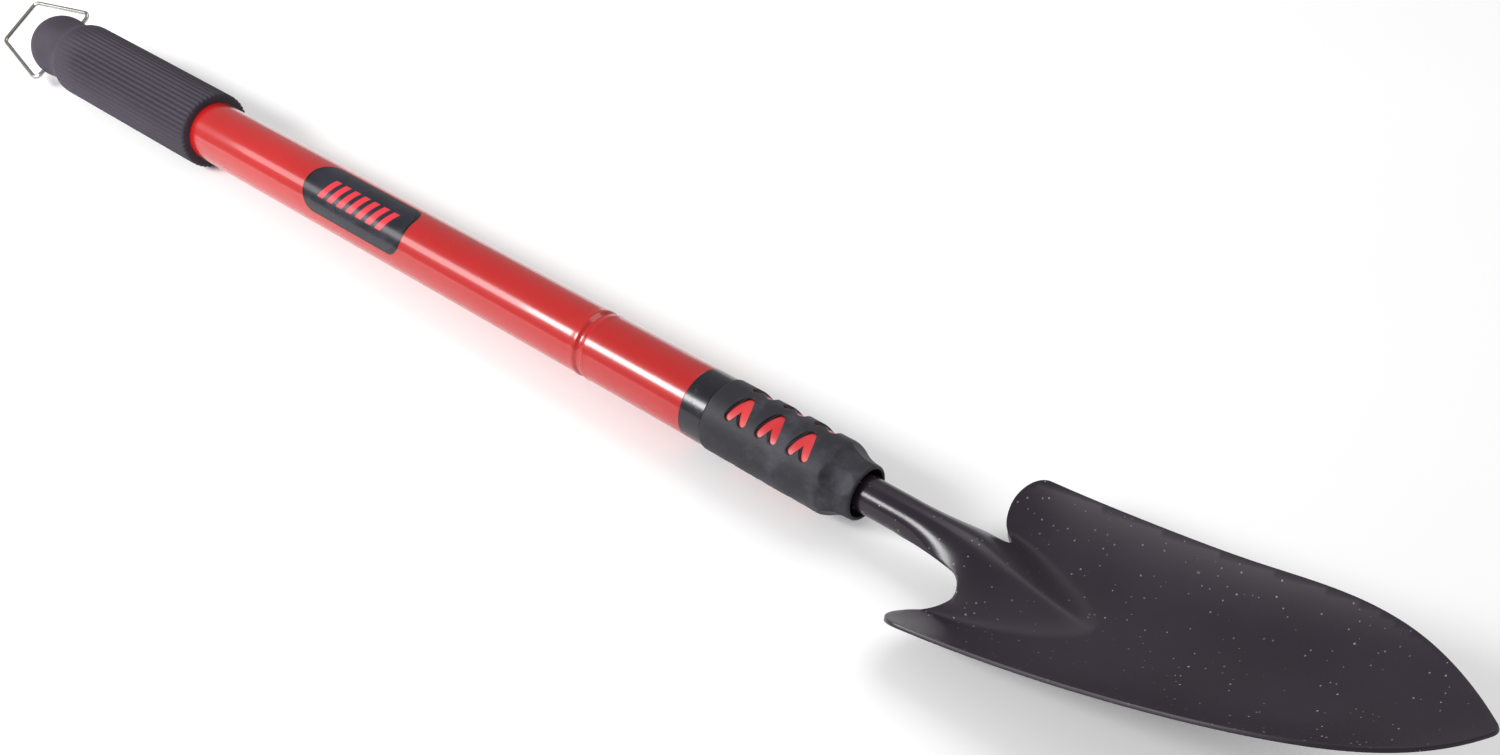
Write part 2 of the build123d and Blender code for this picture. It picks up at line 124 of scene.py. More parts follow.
SLEEVE_REAR = 9.5
SLEEVE_BORE = 12.02
SLEEVE_STEP = 54.52
SLEEVE_WIPER_BORE = 9.42
SLEEVE_WIPER_FRONT = 63.52
SLEEVE_FRONT = 69.8
SLEEVE_REAR_EDGE = ((0.0, 12.6), (0.14, 12.83))
LIP_LENGTH = 3.0
LIP_REAR = SLEEVE_FRONT - LIP_LENGTH
LIP_OPENING = 8.4
LIP_ROUND = 0.9
LIP_EDGE = 0.35
# The cover's outside before its flats are cut, as (station, radius)
SLEEVE_OUTSIDE = (
    (SLEEVE_REAR + 0.5, 12.95),
    (30.0, 13.05),
    (46.0, 13.04),
    (55.0, 13.0),
    (59.3, 12.75),
    (62.5, 11.5),
    (LIP_REAR, 10.25),
    (LIP_REAR + 1.6, 9.85),
)
FACET_COUNT = 8
FACET_REAR = 58.2
FACET_REAR_RADIUS = 13.0
FACET_FRONT_RADIUS = 9.55
FACET_BLEND = 0.05
WINDOW_COLUMNS = (21.8, 34.8, 47.8)
WINDOW_ROWS = (45.0, 112.0, 240.0, 307.0)  # degrees
WINDOW_LEG = 11.5
WINDOW_WIDTH = 3.0
WINDOW_SPREAD = 38.0  # degrees between a chevron's legs
WINDOW_POINT = 4.3
WINDOW_ROUND = 0.5  # rounding of the windows' outer edges
WINDOW_TOP = 13.04
WINDOW_WALL = (11.8, 12.4)  # radii on the windows' straight walls, from inside the bore
WINDOW_WRAP = 12.6  # the radius at which a window's width is measured
MOUTH_HEIGHT = 3.0  # how far the cutters reach out of the cover
MOUTH_FLARE = 1.2

NECK_REAR = 24.0
NECK_RADIUS = 6.3
NECK_SEAM = 0.12  # half of the gap along the rolled neck's underside
BLADE_STATION = 106.3
BLADE_DROP = 12.5
BLADE_PITCH = radians(7.16)
BLADE_LENGTH = 163.5
BLADE_THICKNESS = 1.2
SPINE_RADIUS = 440.0
DISH_RADIUS_REAR = 65.0
DISH_RADIUS_TIP = 41.3
EAR_HALF_WIDTH = 40.2
EAR_SWEEP = 0.8
EAR_ROUND = 8.5
TIP_REACH = 0.9
TIP_ROUND = 3.0
# Shares of the blade's length and of the ears' half width along its long side
SIDE_SHAPE = ((0.30, 0.918), (0.50, 0.847), (0.68, 0.764), (0.82, 0.594), (0.92, 0.345), (0.975, 0.14))
NOTCH_STATION = 9.6
NOTCH_HALF_WIDTH = 10.6
NOTCH_ROUND = 3.6
NECK_MOUTH = -17.0
SEAM_FRONT = -30.0  # where the rolled neck starts to open along its underside
STRIP_REAR = -12.0  # where the sheet has narrowed to the strip between the notches
STRIP_OPENING = (NECK_MOUTH - 4.0, NOTCH_STATION - 0.6)  # where the strip starts and ends to flatten
EAR_ROOT = NOTCH_HALF_WIDTH + 1.9  # the sheet further out than this belongs to an ear
# The unrolled sheet's edge, as (ahead, across): down to the notch, and out along the ear's rear
FLARE_SHAPE = (
    (-22.0, 15.5),
    (-15.0, NOTCH_HALF_WIDTH + 1.1),
    (-8.0, NOTCH_HALF_WIDTH),
    (12.0, NOTCH_HALF_WIDTH),
)
EAR_REAR_SHAPE = (
    (12.5, NOTCH_HALF_WIDTH),
    (5.4, 19.4),
    (1.2, 23.6),
    (-1.2, 29.0),
    (-EAR_SWEEP, EAR_HALF_WIDTH),
)
SHEET_EDGE_ROUND = 0.22
SOCKET_LENGTH = 49.0
SOCKET_HALF_WIDTH = 23.0
SOCKET_RISE = 22.2
SOCKET_BLEND = 2.0
RIDGE_POWER = 1.25
SOCKET_REACH = 1.05 * SOCKET_LENGTH
SOCKET_POINT_POWER = 1.6
SOCKET_SIDE_POWER = 0.74
ARCH_POWER = 1.75
ARCH_PEAK = 1.9
ARCH_PEAK_FALL = 0.6
ARCH_PEAK_SPAN = (2.0, 34.0)
CREST_ROUND = 0.6
# The blade's mesh: a fine grid over the neck and the socket, a coarser one over the rest
EDGE_STEP = 0.4
FINE_STEP = 0.85
COARSE_STEP = 1.9
GRID_ROW_SHARE = 0.866
GRID_EDGE_SHARE = 0.45
FINE_FRONT = SOCKET_LENGTH + 6.0
FINE_HALF_WIDTH = 27.0
# The powder coat is glossier on the rubbed neck than on the blade, and changes between these
GLOSS_FRONT = 95.0
MATT_REAR = 135.0

# --- stage sizes, in metres, and the lens and its sensor in millimetres ------------------------
FLOOR_SIZE = 8.0
CAMERA_PLACE = (TUBE_FRONT + 0.3211, -0.3279, 0.3991)
CAMERA_TARGET = (TUBE_FRONT + 0.0214, 0.0, 0.0382)
CAMERA_ROLL = radians(-1.745)
CAMERA_LENS = 42.81
SENSOR_WIDTH = 36.0
# Name, distance from the axis, middle along the tool, width, length and power in watts
LONG_SOFTBOXES = (
    ("long_softbox", 0.9, -0.62, 0.34, 1.15, 5.5),
    ("bright_softbox", 0.88, -0.45, 0.24, 0.5, 6.5),
)
SOFTBOX_ANGLE = radians(140.6)
OVERHEAD_PLACE = (0.2, 0.9, 1.5)
OVERHEAD_TARGET = (0.1, 0.0, 0.0)
OVERHEAD_SIZE = (1.6, 1.2)
OVERHEAD_POWER = 11.0
SURROUND_STRENGTH = 0.42

# The numbers of a Mix node's colour sockets
MIX_FACTOR = 0
MIX_BELOW = 6
MIX_ABOVE = 7
MIX_RESULT = 2


def row_point(station, radius, angle):
    """A point given by its place along the tool, its radius and its angle, in metres."""
    y = radius * cos(angle)
    z = radius * sin(angle)
    return Vector((TUBE_FRONT + station * MM, y * MM, AXIS_HEIGHT + z * MM))


# --- node trees -------------------------------------------------------------------------------
class Signal:
    """An output socket of a node tree. Arithmetic on it adds Math nodes to the tree."""

    def __init__(self, graph, socket):
        self.graph = graph
        self.socket = socket

    def __add__(self, other):
        return self.graph.maths("ADD", self, other)

    def __radd__(self, other):
        return self.graph.maths("ADD", other, self)

    def __sub__(self, other):
        return self.graph.maths("SUBTRACT", self, other)

    def __rsub__(self, other):
        return self.graph.maths("SUBTRACT", other, self)

    def __mul__(self, other):
        return self.graph.maths("MULTIPLY", self, other)

    def __rmul__(self, other):
        return self.graph.maths("MULTIPLY", other, self)

    def __truediv__(self, other):
        return self.graph.maths("DIVIDE", self, other)

    def __pow__(self, other):
        return self.graph.maths("POWER", self, other)

    def __gt__(self, other):
        return self.graph.maths("GREATER_THAN", self, other)

    def __lt__(self, other):
        return self.graph.maths("LESS_THAN", self, other)

    def output(self, name):
        """Another output of the same node."""
        return Signal(self.graph, self.socket.node.outputs[name])


class Graph:
    """Adds nodes to one tree."""

    def __init__(self, tree):
        self.tree = tree

    def add(self, kind, settings=None, inputs=None, output=0):
        """A node of one type: its settings first, then the values or links of its sockets."""
        node = self.tree.nodes.new(kind)
        for name, value in (settings or {}).items():
            setattr(node, name, value)
        for name, value in (inputs or {}).items():
            self.feed(node.inputs[name], value)
        return Signal(self, node.outputs[output])

    def feed(self, socket, value):
        """Links a signal to a socket, or sets the socket's own value."""
        if isinstance(value, Signal):
            self.tree.links.new(value.socket, socket)
        else:
            socket.default_value = value

    def finish_with(self, kind, socket, signal):
        """The tree's output node, fed by a signal."""
        node = self.tree.nodes.new(kind)
        self.feed(node.inputs[socket], signal)

    def maths(self, operation, *values):
        """A Math node on signals or numbers."""
        return self.add("ShaderNodeMath", {"operation": operation}, dict(enumerate(values)))

    def smooth_step(self, value, low, high):
        """0 below low and 1 above high, with a soft change between."""
        settings = {"interpolation_type": "SMOOTHSTEP"}
        inputs = {"Value": value, "From Min": low, "From Max": high, "To Min": 0.0, "To Max": 1.0}
        return self.add("ShaderNodeMapRange", settings, inputs)

    def within(self, value, limit, soft):
        """1 where the size of a value is under a limit and 0 where it is over, with a soft edge."""
        return 1.0 - self.smooth_step(self.maths("ABSOLUTE", value), limit - soft, limit)

    def past(self, value, limit):
        """How far the size of a value is over a limit."""
        return self.maths("MAXIMUM", self.maths("ABSOLUTE", value) - limit, 0.0)


class Finish(Graph):
    """One material: a Principled shader and the nodes that feed it."""

    def __init__(self, name, **constants):
        self.material = bpy.data.materials.new(name)
        self.material.use_nodes = True
        super().__init__(self.material.node_tree)
        self.tree.nodes.clear()
        surface = self.add("ShaderNodeBsdfPrincipled")
        self.shader = surface.socket.node
        self.finish_with("ShaderNodeOutputMaterial", "Surface", surface)
        for socket, value in constants.items():
            self.shader.inputs[socket.replace("_", " ")].default_value = value
        self.place = self.add("ShaderNodeTexCoord", output="Object")

    def drive(self, **links):
        """Links or values for the shader's own sockets."""
        for socket, value in links.items():
            self.feed(self.shader.inputs[socket.replace("_", " ")], value)

    def noise(self, scale, detail=3.0, roughness=0.55, place=None):
        """Soft random values, with a scale in cells to the metre."""
        inputs = {"Vector": place or self.place, "Scale": scale, "Detail": detail, "Roughness": roughness}
        return self.add("ShaderNodeTexNoise", None, inputs)

    def stretched(self, factors):
        """Object coordinates scaled by a factor along each axis."""
        return self.add("ShaderNodeMapping", None, {"Vector": self.place, "Scale": factors})

    def blend(self, factor, below, above):
        """A colour that goes from below to above as the factor goes from 0 to 1."""
        inputs = {MIX_FACTOR: factor, MIX_BELOW: colour(below), MIX_ABOVE: colour(above)}
        return self.add("ShaderNodeMix", {"data_type": "RGBA"}, inputs, MIX_RESULT)

    def bump(self, height, depth, strength):
        """A normal for a fine relief, with its depth in millimetres."""
        inputs = {"Height": height, "Distance": depth * MM, "Strength": strength}
        return self.add("ShaderNodeBump", None, inputs)

    def coordinates(self):
        """Millimetres ahead of the tube's front and the angle about the axis."""
        parts = self.add("ShaderNodeSeparateXYZ", None, {"Vector": self.place})
        station = (parts - TUBE_FRONT) / MM
        angle = self.maths("ARCTAN2", parts.output("Z") - AXIS_HEIGHT, parts.output("Y"))
        return station, angle


def colour(value):
    """A colour given as three numbers, or a link as it is."""
    if isinstance(value, Signal):
        return value
    return (*value, 1.0)


# --- finishes ---------------------------------------------------------------------------------
def gloss_red_enamel():
    """Stoved enamel on steel: a slight orange peel, faint handling marks, a clear gloss."""
    paint = Finish("gloss_red_enamel", Specular_IOR_Level=0.4, Coat_Weight=0.6, Coat_Roughness=0.06)
    tone = paint.smooth_step(paint.noise(scale=9.0, detail=4.0), 0.3, 0.7)
    along = paint.stretched((0.25, 1.0, 1.0))
    scuffs = paint.smooth_step(paint.noise(scale=60.0, detail=6.0, roughness=0.7, place=along), 0.6, 0.8)
    speckle = paint.noise(scale=900.0, detail=2.0)
    peel = paint.noise(scale=420.0, detail=2.0, roughness=0.5)
    paint.drive(
        Base_Color=paint.blend(tone, (0.40, 0.008, 0.008), (0.48, 0.011, 0.010)),
        Roughness=0.24 + 0.12 * scuffs + 0.04 * speckle,
        Normal=paint.bump(peel, depth=0.06, strength=0.35),
    )
    return paint.material


def dust_specks(finish, spacing, size, share):
    """Small light grains: 1 on a grain and 0 between. A share of the cells holds a grain.

    The spacing and the largest grain's radius are in millimetres.
    """
    inputs = {"Vector": finish.place, "Scale": 1.0 / (spacing * MM), "Randomness": 1.0}
    cells = finish.add("ShaderNodeTexVoronoi", {"feature": "F1", "distance": "EUCLIDEAN"}, inputs)
    lot = finish.add("ShaderNodeSeparateColor", None, {"Color": cells.output("Color")})
    radius = size * (0.35 + 0.65 * lot.output("Green"))
    return (lot < share) * (cells < radius / spacing)


def satin_powder_coat():
    """Black powder coat: a fine pebble, a violet-brown tint, and light dust grains caught in it."""
    coat = Finish("satin_powder_coat", Specular_IOR_Level=0.42)
    tone = coat.smooth_step(coat.noise(scale=14.0, detail=5.0), 0.35, 0.7)
    shade = coat.blend(tone, (0.0135, 0.0082, 0.0162), (0.0225, 0.0142, 0.0250))
    patch = coat.smooth_step(coat.noise(scale=22.0, detail=2.0), 0.38, 0.58)
    fine = dust_specks(coat, spacing=2.1, size=0.34, share=0.6)
    coarse = dust_specks(coat, spacing=5.8, size=0.56, share=0.45)
    grains = coat.maths("MAXIMUM", fine * (0.3 + 0.7 * patch), coarse * patch)
    pebble = coat.noise(scale=1500.0, detail=3.0)
    ahead = coat.add("ShaderNodeSeparateXYZ", None, {"Vector": coat.place})
    on_blade = coat.smooth_step(ahead, TUBE_FRONT + GLOSS_FRONT * MM, TUBE_FRONT + MATT_REAR * MM)
    coat.drive(
        Base_Color=coat.blend(0.6 * grains, shade, (0.50, 0.45, 0.50)),
        Roughness=0.2 + 0.25 * on_blade + 0.05 * tone + 0.15 * grains,
        Normal=coat.bump(pebble + 0.6 * grains, depth=0.03, strength=0.5),
    )
    return coat.material


def foam_rubber():
    """Dense grip foam: matt, finely cellular, with a greyish bloom along its length."""
    foam = Finish("foam_rubber", Specular_IOR_Level=0.35)
    along = foam.stretched((0.3, 1.0, 1.0))
    bloom = foam.smooth_step(foam.noise(scale=26.0, detail=5.0, roughness=0.6, place=along), 0.3, 0.75)
    cells = foam.noise(scale=2600.0, detail=3.0)
    foam.drive(
        Base_Color=foam.blend(bloom, (0.026, 0.021, 0.031), (0.050, 0.040, 0.058)),
        Roughness=0.62 + 0.2 * cells,
        Normal=foam.bump(cells, depth=0.05, strength=0.5),
    )
    return foam.material


def dusty_sleeve_rubber():
    """Moulded soft cover: dark, with a pale rubbed haze and a spark-eroded grain."""
    rubber = Finish("dusty_sleeve_rubber", Specular_IOR_Level=0.4)
    haze = rubber.smooth_step(rubber.noise(scale=70.0, detail=6.0, roughness=0.65), 0.45, 0.75)
    along = rubber.stretched((0.35, 1.0, 1.0))
    streak = rubber.smooth_step(rubber.noise(scale=150.0, detail=4.0, roughness=0.6, place=along), 0.5, 0.8)
    shade = rubber.blend(0.75 * haze + 0.25 * streak, (0.013, 0.012, 0.017), (0.070, 0.069, 0.092))
    grain = rubber.noise(scale=1700.0, detail=3.0)
    rubber.drive(
        Base_Color=shade,
        Roughness=0.5 + 0.15 * grain + 0.1 * haze,
        Normal=rubber.bump(grain, depth=0.04, strength=0.6),
    )
    return rubber.material


def gloss_black_plastic():
    """Hard blue-black plastic with a polished skin and light scuffing."""
    plastic = Finish("gloss_black_plastic", Specular_IOR_Level=0.45, Coat_Weight=0.15, Coat_Roughness=0.1)
    scuffs = plastic.smooth_step(plastic.noise(scale=260.0, detail=5.0, roughness=0.7), 0.55, 0.75)
    skin = plastic.noise(scale=800.0, detail=2.0)
    plastic.drive(
        Base_Color=plastic.blend(scuffs, (0.007, 0.007, 0.013), (0.015, 0.015, 0.024)),
        Roughness=0.24 + 0.16 * scuffs,
        Normal=plastic.bump(skin, depth=0.03, strength=0.35),
    )
    return plastic.material


def moulded_red_plastic():
    """The nut under the cover: smooth red plastic with slow flow marks."""
    plastic = Finish("moulded_red_plastic", Specular_IOR_Level=0.5)
    round_axis = plastic.stretched((1.0, 0.4, 0.4))
    flow = plastic.smooth_step(plastic.noise(scale=80.0, roughness=0.5, place=round_axis), 0.35, 0.7)
    skin = plastic.noise(scale=700.0, detail=2.0)
    plastic.drive(
        Base_Color=plastic.blend(flow, (0.56, 0.022, 0.028), (0.66, 0.04, 0.042)),
        Roughness=0.36 + 0.1 * flow,
        Normal=plastic.bump(skin, depth=0.02, strength=0.3),
    )
    return plastic.material


def natural_nylon():
    """Off-white bearing plastic, a little cloudy, with turning lines round it."""
    nylon = Finish("natural_nylon", Specular_IOR_Level=0.45)
    cloud = nylon.smooth_step(nylon.noise(scale=120.0, detail=4.0), 0.3, 0.7)
    round_axis = nylon.stretched((6.0, 0.3, 0.3))
    lines = nylon.noise(scale=500.0, detail=2.0, roughness=0.5, place=round_axis)
    nylon.drive(
        Base_Color=nylon.blend(cloud, (0.66, 0.64, 0.57), (0.74, 0.72, 0.66)),
        Roughness=0.42 + 0.1 * lines,
        Normal=nylon.bump(lines, depth=0.04, strength=0.4),
    )
    return nylon.material


def bright_drawn_wire():
    """Plated steel wire with a fine grain and faint tarnish."""
    wire = Finish("bright_drawn_wire", Metallic=1.0)
    tarnish = wire.smooth_step(wire.noise(scale=180.0, detail=4.0), 0.4, 0.75)
    grain = wire.noise(scale=900.0, detail=3.0)
    wire.drive(
        Base_Color=wire.blend(tarnish, (0.46, 0.44, 0.42), (0.30, 0.28, 0.26)),
        Roughness=0.16 + 0.14 * tarnish + 0.06 * grain,
        Normal=wire.bump(grain, depth=0.02, strength=0.4),
    )
    return wire.material


def slanted_bars(film, along, across):
    """1 on a row of slanted bars and 0 beside them."""
    slanted = along + MARK_SLANT * across
    pitch = 2 * MARK_HALF_LENGTH / MARK_BAR_COUNT
    fraction = film.maths("FRACT", slanted / pitch + MARK_BAR_COUNT / 2)
    bar = film.within(fraction - 0.5, MARK_BAR_SHARE, soft=0.03)
    long_enough = film.within(slanted, MARK_HALF_LENGTH, soft=0.1)
    high_enough = film.within(across, MARK_HALF_HEIGHT, soft=0.15)
    return bar * long_enough * high_enough


def label_border(film, ahead, across):
    """1 on the film's darker rounded border and 0 inside it."""
    past_end = film.past(ahead, LABEL_LENGTH / 2 - BORDER_ROUND)
    past_side = film.past(across, LABEL_HALF_ANGLE * TUBE_RADIUS - BORDER_ROUND)
    reach = film.maths("SQRT", past_end * past_end + past_side * past_side)
    inner_edge = BORDER_ROUND - BORDER_WIDTH
    return film.smooth_step(reach, inner_edge - 0.3, inner_edge)


def printed_label_film():
    """Gloss black film with a plain printed row of slanted red bars."""
    film = Finish("printed_label_film", Specular_IOR_Level=0.35, Coat_Weight=0.2, Coat_Roughness=0.15)
    station, angle = film.coordinates()
    ahead = station - (LABEL_REAR + LABEL_FRONT) / 2
    across = (angle - LABEL_MIDDLE) * TUBE_RADIUS
    mark = slanted_bars(film, ahead - MARK_SHIFT, across)
    border = label_border(film, ahead, across)
    mottle = film.smooth_step(film.noise(scale=110.0, detail=4.0), 0.3, 0.7)
    ground = film.blend(mottle, (0.009, 0.009, 0.015), (0.017, 0.016, 0.028))
    ground = film.blend(border, ground, (0.003, 0.003, 0.004))
    skin = film.noise(scale=500.0, detail=2.0)
    film.drive(
        Base_Color=film.blend(mark, ground, (0.62, 0.03, 0.045)),
        Roughness=0.22 + 0.1 * mottle + 0.06 * mark,
        Normal=film.bump(skin, depth=0.02, strength=0.3),
    )
    return film.material


finishes = {
    "red_enamel": gloss_red_enamel(),
    "powder_coat": satin_powder_coat(),
    "grip_rubber": foam_rubber(),
    "sleeve_rubber": dusty_sleeve_rubber(),
    "red_plastic": moulded_red_plastic(),
    "black_plastic": gloss_black_plastic(),
    "nylon": natural_nylon(),
    "label_film": printed_label_film(),
    "bright_wire": bright_drawn_wire(),
}


# --- making pieces ----------------------------------------------------------------------------
def make_piece(name, points, faces, slot):
    """A mesh object of these points, in metres, and faces, with the finish of a material slot."""
    mesh = bpy.data.meshes.new(name)
    mesh.from_pydata([tuple(point) for point in points], [], faces)
    mesh.validate()
    mesh.materials.append(finishes[slot])
    piece = bpy.data.objects.new(name, mesh)
    bpy.context.scene.collection.objects.link(piece)
    return piece


def face_outwards(piece):
    """Merges doubled points of a closed piece and turns its faces outwards."""
    work = bmesh.new()
    work.from_mesh(piece.data)
    bmesh.ops.remove_doubles(work, verts=work.verts, dist=1e-8)
    bmesh.ops.recalc_face_normals(work, faces=work.faces)
    if work.calc_volume(signed=True) < 0:
        bmesh.ops.reverse_faces(work, faces=work.faces)
    work.to_mesh(piece.data)
    work.free()


def settle_modifiers(piece, sharp_angle=35.0):
    """Turns the piece with its modifiers into a plain mesh, smooth but for its sharp edges."""
    depsgraph = bpy.context.evaluated_depsgraph_get()
    mesh = bpy.data.meshes.new_from_object(piece.evaluated_get(depsgraph))
    piece.modifiers.clear()
    piece.data = mesh
    face_outwards(piece)
    mesh.shade_smooth()
    mesh.set_sharp_from_angle(angle=radians(sharp_angle))


def install(piece, slot, body, *replaced):
    """Puts a finished piece on its body, in place of the CAD nodes it stands for."""
    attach(piece, body)
    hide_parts(*replaced)


def ring_faces(row_count, around):
    """Faces between rows of points that run round the axis. The last row joins the first."""
    faces = []
    for row in range(row_count):
        this = row * around
        ahead = (row + 1) % row_count * around
        for i in range(around):
            beside = (i + 1) % around
            faces.append((this + i, this + beside, ahead + beside, ahead + i))
    return faces


def turned_piece(name, rows, around, slot):
    """A turned piece. Each row is (station, radius), or (station, radius as a function of angle)."""
    points = []
    for station, radius in rows:
        for i in range(around):
            angle = 2 * pi * i / around
            reach = radius(angle) if callable(radius) else radius
            points.append(row_point(station, reach, angle))
    return make_piece(name, points, ring_faces(len(rows), around), slot)


def arc_rows(station, radius, size, first, last, steps=6):
    """Rows along a round corner: centre, size and the angles from forwards towards outwards."""
    rows = []
    for i in range(steps + 1):
        angle = radians(first + (last - first) * i / steps)
        rows.append((station + size * cos(angle), radius + size * sin(angle)))
    return rows


def spline(knots, count, first_slope=None, last_slope=None):
    """Points on a cubic spline through the knots, evenly spread over its chord lengths."""
    knots = np.array(knots, float)
    chords = np.r_[0, np.cumsum(np.linalg.norm(np.diff(knots, axis=0), axis=1))]
    gaps = np.diff(chords)
    size = len(knots)
    system = np.zeros((size, size))
    target = np.zeros_like(knots)
    for i in range(1, size - 1):
        system[i, i - 1] = gaps[i]
        system[i, i] = 2 * (gaps[i - 1] + gaps[i])
        system[i, i + 1] = gaps[i - 1]
        before = (knots[i] - knots[i - 1]) / gaps[i - 1]
        after = (knots[i + 1] - knots[i]) / gaps[i]
        target[i] = 3 * (gaps[i] * before + gaps[i - 1] * after)
    for row, beside, gap, slope in ((0, 1, gaps[0], first_slope), (-1, -2, gaps[-1], last_slope)):
        system[row, row] = 1 if slope is not None else 2
        if slope is None:
            system[row, beside] = 1
            change = knots[1] - knots[0] if row == 0 else knots[-1] - knots[-2]
            target[row] = 3 * change / gap
        else:
            target[row] = slope
    slopes = np.linalg.solve(system, target)
    places = np.linspace(0, chords[-1], count)
    spans = np.clip(np.searchsorted(chords, places, side="right") - 1, 0, size - 2)
    share = ((places - chords[spans]) / gaps[spans])[:, None]
    gap = gaps[spans][:, None]
    start, end = knots[spans], knots[spans + 1]
    leave, arrive = slopes[spans] * gap, slopes[spans + 1] * gap
    return (
        (1 + 2 * share) * (1 - share) ** 2 * start
        + share * (1 - share) ** 2 * leave
        + share**2 * (3 - 2 * share) * end
        + share**2 * (share - 1) * arrive
    )


# --- outer tube -------------------------------------------------------------------------------
def make_outer_tube():
    """Red steel tube with a rolled groove whose lips stand a little proud."""
    inner = TUBE_RADIUS - TUBE_WALL
    dip_width = 0.36 * GROOVE_WIDTH
    lip_middle = 0.75 * GROOVE_WIDTH
    lip_width = 0.3 * GROOVE_WIDTH
    reach = 2.2 * GROOVE_WIDTH
    rows = [(-TUBE_LENGTH, inner), (-TUBE_LENGTH, TUBE_RADIUS)]
    rows += [(-TUBE_LENGTH + TUBE_LENGTH * i / 30, TUBE_RADIUS) for i in range(1, 26)]
    for i in range(41):
        offset = reach * (i / 20 - 1)
        dip = GROOVE_DEPTH * np.exp(-((offset / dip_width) ** 4))
        lip = GROOVE_LIP * np.exp(-(((abs(offset) - lip_middle) / lip_width) ** 2))
        rows.append((GROOVE_STATION + offset, TUBE_RADIUS - dip + lip))
    rows += [(-30.0, TUBE_RADIUS), (-10.0, TUBE_RADIUS)]  # these only keep the faces short
    rows += arc_rows(-TUBE_EDGE, TUBE_RADIUS - TUBE_EDGE, TUBE_EDGE, first=90, last=0)
    rows += [(0.0, inner), (-60.0, inner)]
    tube = turned_piece("red_outer_tube", rows, around=160, slot="red_enamel")
    settle_modifiers(tube)
    install(tube, "red_enamel", "handle", "outer_tube")


# --- grip -------------------------------------------------------------------------------------
def grip_rib_tree(material):
    """A node tree that presses fading grooves between ribs into a turned grip."""
    tree = bpy.data.node_groups.new("grip_ribs", "GeometryNodeTree")
    face = tree.interface
    face.new_socket("Geometry", in_out="INPUT", socket_type="NodeSocketGeometry")
    for name, kind in (
        ("Rib Count", "NodeSocketInt"),
        ("Rib Depth", "NodeSocketFloat"),
        ("Fade Rear", "NodeSocketFloat"),
        ("Fade Front", "NodeSocketFloat"),
        ("Least Radius", "NodeSocketFloat"),
        ("Axis Height", "NodeSocketFloat"),
    ):
        face.new_socket(name, in_out="INPUT", socket_type=kind)
    face.new_socket("Geometry", in_out="OUTPUT", socket_type="NodeSocketGeometry")
    graph = Graph(tree)
    given = graph.add("NodeGroupInput")
    place = graph.add("GeometryNodeInputPosition")
    parts = graph.add("ShaderNodeSeparateXYZ", None, {"Vector": place})
    height = parts.output("Z") - given.output("Axis Height")
    width = parts.output("Y")
    angle = graph.maths("ARCTAN2", height, width)
    radius = graph.maths("SQRT", height * height + width * width)
    wave = 0.5 - 0.5 * graph.maths("COSINE", angle * given.output("Rib Count"))
    fade = graph.smooth_step(parts, given.output("Fade Rear"), given.output("Fade Front"))
    outside = radius > given.output("Least Radius")
    press = given.output("Rib Depth") * (wave**RIB_POWER) * fade * outside / radius
    shift = graph.add("ShaderNodeCombineXYZ", None, {"Y": -1.0 * press * width, "Z": -1.0 * press * height})
    pressed = graph.add("GeometryNodeSetPosition", None, {"Geometry": given, "Offset": shift})
    smooth = graph.add("GeometryNodeSetShadeSmooth", None, {"Geometry": pressed})
    whole = graph.add("GeometryNodeRealizeInstances", None, {"Geometry": smooth})
    finished = graph.add("GeometryNodeSetMaterial", None, {"Geometry": whole, "Material": material})
    graph.finish_with("NodeGroupOutput", "Geometry", finished)
    return tree


def make_grip():
    """The ribbed barrel, its shoulder and waist, and the domed bulb that holds the bail."""
    dome = GRIP_END - BULB_STATION
    half_way = radians(50)
    knots = [
        (GRIP_SHOULDER, GRIP_RADIUS),
        (GRIP_SLOPE, SLOPE_RADIUS),
        (GRIP_WAIST, WAIST_RADIUS),
        (BULB_STATION, BULB_RADIUS),
        (BULB_STATION + dome * sin(half_way), BULB_RADIUS * cos(half_way)),
        (GRIP_END, AXIS_GAP),
    ]
    inner = TUBE_RADIUS + GRIP_GAP
    flange_rear = TUBE_REAR - PLUG_FLANGE
    rim = GRIP_RIM_ROUND
    rows = [(PLUG_HEAD_REAR, AXIS_GAP), (PLUG_HEAD_REAR, PLUG_HEAD_RADIUS), (flange_rear, PLUG_HEAD_RADIUS)]
    rows += [(flange_rear, inner), (GRIP_FRONT, inner)]
    rows += arc_rows(GRIP_FRONT - rim, GRIP_RADIUS - rim, rim, first=0, last=90)
    rows += [(GRIP_FRONT - rim - 4 * i, GRIP_RADIUS) for i in range(1, 23)]
    rows += [tuple(point) for point in spline(knots, count=46, first_slope=(-1, 0), last_slope=(0, -1))]
    grip = turned_piece("ribbed_grip", rows, around=RIB_COUNT * RIB_POINTS, slot="grip_rubber")
    tree = grip_rib_tree(finishes["grip_rubber"])
    modifier = grip.modifiers.new("ribs", "NODES")
    modifier.node_group = tree
    values = {
        "Rib Count": RIB_COUNT,
        "Rib Depth": RIB_DEPTH * MM,
        "Fade Rear": TUBE_FRONT + RIB_REAR * MM,
        "Fade Front": TUBE_FRONT + RIB_FULL * MM,
        "Least Radius": (TUBE_RADIUS + 0.3) * MM,  # leaves the grip's bore as it is
        "Axis Height": AXIS_HEIGHT,
    }
    for socket in tree.interface.items_tree:
        if socket.in_out == "INPUT" and socket.name in values:
            modifier[socket.identifier] = values[socket.name]
    settle_modifiers(grip, sharp_angle=50.0)
    install(grip, "grip_rubber", "handle", "grip")


